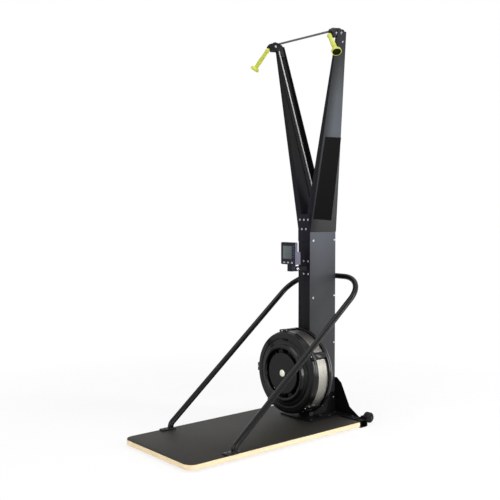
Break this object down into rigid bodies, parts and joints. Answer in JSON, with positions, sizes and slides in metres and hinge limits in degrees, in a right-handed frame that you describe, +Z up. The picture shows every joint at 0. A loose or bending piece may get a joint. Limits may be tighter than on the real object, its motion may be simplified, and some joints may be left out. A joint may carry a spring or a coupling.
{
  "type": "ski simulator",
  "caption": "Standing ski trainer: two pull handles on a V-shaped mast drive an air fan above a plywood platform, with a bent guard rail.",
  "frame": {"origin": "on the floor, under the middle of the whole machine's box", "axes": "+Z up, -Y towards the user on the platform, +X to the user's right"},
  "size_m": [0.7154, 1.3302, 2.2422],
  "materials": {
    "wood": "pale birch plywood, clear satin edge",
    "mat": "black grip sheet, fine grain",
    "rubber": "black rubber",
    "tyre": "black solid tyre on a dark hub",
    "frame": "near-black powder coat, fine satin grain",
    "side_panel": "dark anthracite powder coat, satin",
    "black_plastic": "black moulded plastic, light grain",
    "dark_plastic": "dark grey moulded plastic",
    "disc_plastic": "dark grey moulded plastic, satin",
    "silver_mesh": "perforated sheet, warm silver",
    "steel": "bright steel",
    "cord": "light grey woven cord",
    "lime_plastic": "lime green moulded plastic, soft sheen",
    "cream_plastic": "cream cap",
    "screen": "dark grey-green display behind a clear pane",
    "button_light": "light grey rubber key",
    "button_dark": "dark grey rubber key"
  },
  "bodies": {
    "frame": {"platform_board": "wood", "platform_mat": "mat", "foot_pad_front_left": "rubber", "foot_pad_front_right": "rubber", "foot_pad_middle_left": "rubber", "foot_pad_middle_right": "rubber", "rear_cross_member": "frame", "wheel_bracket_left": "frame", "wheel_bracket_right": "frame", "base_plate": "frame", "rear_foot_plate": "frame", "foot_bracket_left": "frame", "foot_bracket_right": "frame", "column_front_panel": "frame", "column_rear_panel": "frame", "column_left_panel": "side_panel", "column_right_panel": "side_panel", "arm_left": "side_panel", "arm_right": "side_panel", "joint_plate": "frame", "crossbar": "frame", "pulley_housing_left": "black_plastic", "pulley_housing_right": "black_plastic", "drive_cord_left": "cord", "drive_cord_right": "cord", "handle_cord_left": "cord", "handle_cord_right": "cord", "rear_bearing": "steel", "return_bungee": "rubber", "fan_front_cover": "black_plastic", "fan_rear_cover": "black_plastic", "fan_mesh_band": "silver_mesh", "fan_front_disc": "disc_plastic", "hub_cap": "cream_plastic", "guard_rail": "frame", "monitor_bracket": "frame"},
    "fan_rotor": {"fan_rotor": "dark_plastic", "fan_shaft": "steel"},
    "damper": {"damper_ring": "dark_plastic"},
    "handle_left": {"handle_left": "lime_plastic"},
    "handle_right": {"handle_right": "lime_plastic"},
    "top_pulley_left": {"top_pulley_left": "dark_plastic"},
    "top_pulley_right": {"top_pulley_right": "dark_plastic"},
    "guide_pulley_left": {"guide_pulley_left": "dark_plastic"},
    "guide_pulley_right": {"guide_pulley_right": "dark_plastic"},
    "drum_left": {"drive_drum_left": "steel"},
    "drum_right": {"drive_drum_right": "steel"},
    "wheel_left": {"transport_wheel_left": "tyre"},
    "wheel_right": {"transport_wheel_right": "tyre"},
    "monitor": {"monitor_back": "dark_plastic", "monitor_front": "black_plastic", "monitor_lens": "screen"},
    "button_under_1": {"button_under_1": "button_light"},
    "button_under_2": {"button_under_2": "button_light"},
    "button_under_3": {"button_under_3": "button_light"},
    "button_side_1": {"button_side_1": "button_dark"},
    "button_side_2": {"button_side_2": "button_dark"},
    "button_side_3": {"button_side_3": "button_dark"},
    "button_side_4": {"button_side_4": "button_dark"},
    "button_side_5": {"button_side_5": "button_dark"}
  },
  "joints": [
    {"name": "fan_spin", "type": "hinge", "parent": "frame", "child": "fan_rotor", "pos_m": [0, 0.27, 0.3159], "axis": [0, 1, 0], "continuous": true},
    {"name": "damper_turn", "type": "hinge", "parent": "frame", "child": "damper", "pos_m": [0, 0.227, 0.3159], "axis": [0, 1, 0], "range_deg": [-19, 19]},
    {"name": "handle_left_pull", "type": "slide", "parent": "frame", "child": "handle_left", "axis": [0, -0.34, -0.9404], "range_m": [0, 1.25], "stiffness_N_per_m": 12, "springref_m": -0.5, "deforming": ["handle_cord_left"]},
    {"name": "top_pulley_left_spin", "type": "hinge", "parent": "frame", "child": "top_pulley_left", "pos_m": [-0.24231, 0.35991, 2.21334], "axis": [0.9345, -0.309, 0.1768], "continuous": true},
    {"name": "guide_pulley_left_spin", "type": "hinge", "parent": "frame", "child": "guide_pulley_left", "pos_m": [-0.0288, 0.55385, 1.085], "axis": [0, 1, 0], "continuous": true},
    {"name": "drum_left_spin", "type": "hinge", "parent": "frame", "child": "drum_left", "pos_m": [0, 0.53255, 0.3159], "axis": [0, 1, 0], "continuous": true},
    {"name": "wheel_left_roll", "type": "hinge", "parent": "frame", "child": "wheel_left", "pos_m": [-0.268, 0.63515, 0.042], "axis": [1, 0, 0], "continuous": true},
    {"name": "handle_right_pull", "type": "slide", "parent": "frame", "child": "handle_right", "axis": [0, -0.34, -0.9404], "range_m": [0, 1.25], "stiffness_N_per_m": 12, "springref_m": -0.5, "deforming": ["handle_cord_right"]},
    {"name": "top_pulley_right_spin", "type": "hinge", "parent": "frame", "child": "top_pulley_right", "pos_m": [0.24231, 0.35991, 2.21334], "axis": [0.9345, 0.309, -0.1768], "continuous": true},
    {"name": "guide_pulley_right_spin", "type": "hinge", "parent": "frame", "child": "guide_pulley_right", "pos_m": [0.0288, 0.55385, 1.085], "axis": [0, 1, 0], "continuous": true},
    {"name": "drum_right_spin", "type": "hinge", "parent": "frame", "child": "drum_right", "pos_m": [0, 0.48955, 0.3159], "axis": [0, 1, 0], "continuous": true},
    {"name": "wheel_right_roll", "type": "hinge", "parent": "frame", "child": "wheel_right", "pos_m": [0.268, 0.63515, 0.042], "axis": [1, 0, 0], "continuous": true},
    {"name": "monitor_tilt", "type": "hinge", "parent": "frame", "child": "monitor", "pos_m": [0.011, 0.29185, 0.909], "axis": [1, 0, 0], "range_deg": [-20, 20]},
    {"name": "button_under_1_press", "type": "slide", "parent": "monitor", "child": "button_under_1", "axis": [0, 1, 0], "range_m": [0, 0.0012], "stiffness_N_per_m": 600, "springref_m": -0.0008},
    {"name": "button_under_2_press", "type": "slide", "parent": "monitor", "child": "button_under_2", "axis": [0, 1, 0], "range_m": [0, 0.0012], "stiffness_N_per_m": 600, "springref_m": -0.0008},
    {"name": "button_under_3_press", "type": "slide", "parent": "monitor", "child": "button_under_3", "axis": [0, 1, 0], "range_m": [0, 0.0012], "stiffness_N_per_m": 600, "springref_m": -0.0008},
    {"name": "button_side_1_press", "type": "slide", "parent": "monitor", "child": "button_side_1", "axis": [0, 1, 0], "range_m": [0, 0.0012], "stiffness_N_per_m": 600, "springref_m": -0.0008},
    {"name": "button_side_2_press", "type": "slide", "parent": "monitor", "child": "button_side_2", "axis": [0, 1, 0], "range_m": [0, 0.0012], "stiffness_N_per_m": 600, "springref_m": -0.0008},
    {"name": "button_side_3_press", "type": "slide", "parent": "monitor", "child": "button_side_3", "axis": [0, 1, 0], "range_m": [0, 0.0012], "stiffness_N_per_m": 600, "springref_m": -0.0008},
    {"name": "button_side_4_press", "type": "slide", "parent": "monitor", "child": "button_side_4", "axis": [0, 1, 0], "range_m": [0, 0.0012], "stiffness_N_per_m": 600, "springref_m": -0.0008},
    {"name": "button_side_5_press", "type": "slide", "parent": "monitor", "child": "button_side_5", "axis": [0, 1, 0], "range_m": [0, 0.0012], "stiffness_N_per_m": 600, "springref_m": -0.0008}
  ],
  "couplings": [
    {"joint": "top_pulley_left_spin", "follows": "handle_left_pull", "rad_per_m": 48.077},
    {"joint": "guide_pulley_left_spin", "follows": "handle_left_pull", "rad_per_m": -63.291},
    {"joint": "drum_left_spin", "follows": "handle_left_pull", "rad_per_m": -41.667},
    {"joint": "top_pulley_right_spin", "follows": "handle_right_pull", "rad_per_m": 48.077},
    {"joint": "guide_pulley_right_spin", "follows": "handle_right_pull", "rad_per_m": 63.291},
    {"joint": "drum_right_spin", "follows": "handle_right_pull", "rad_per_m": -41.667}
  ]
}
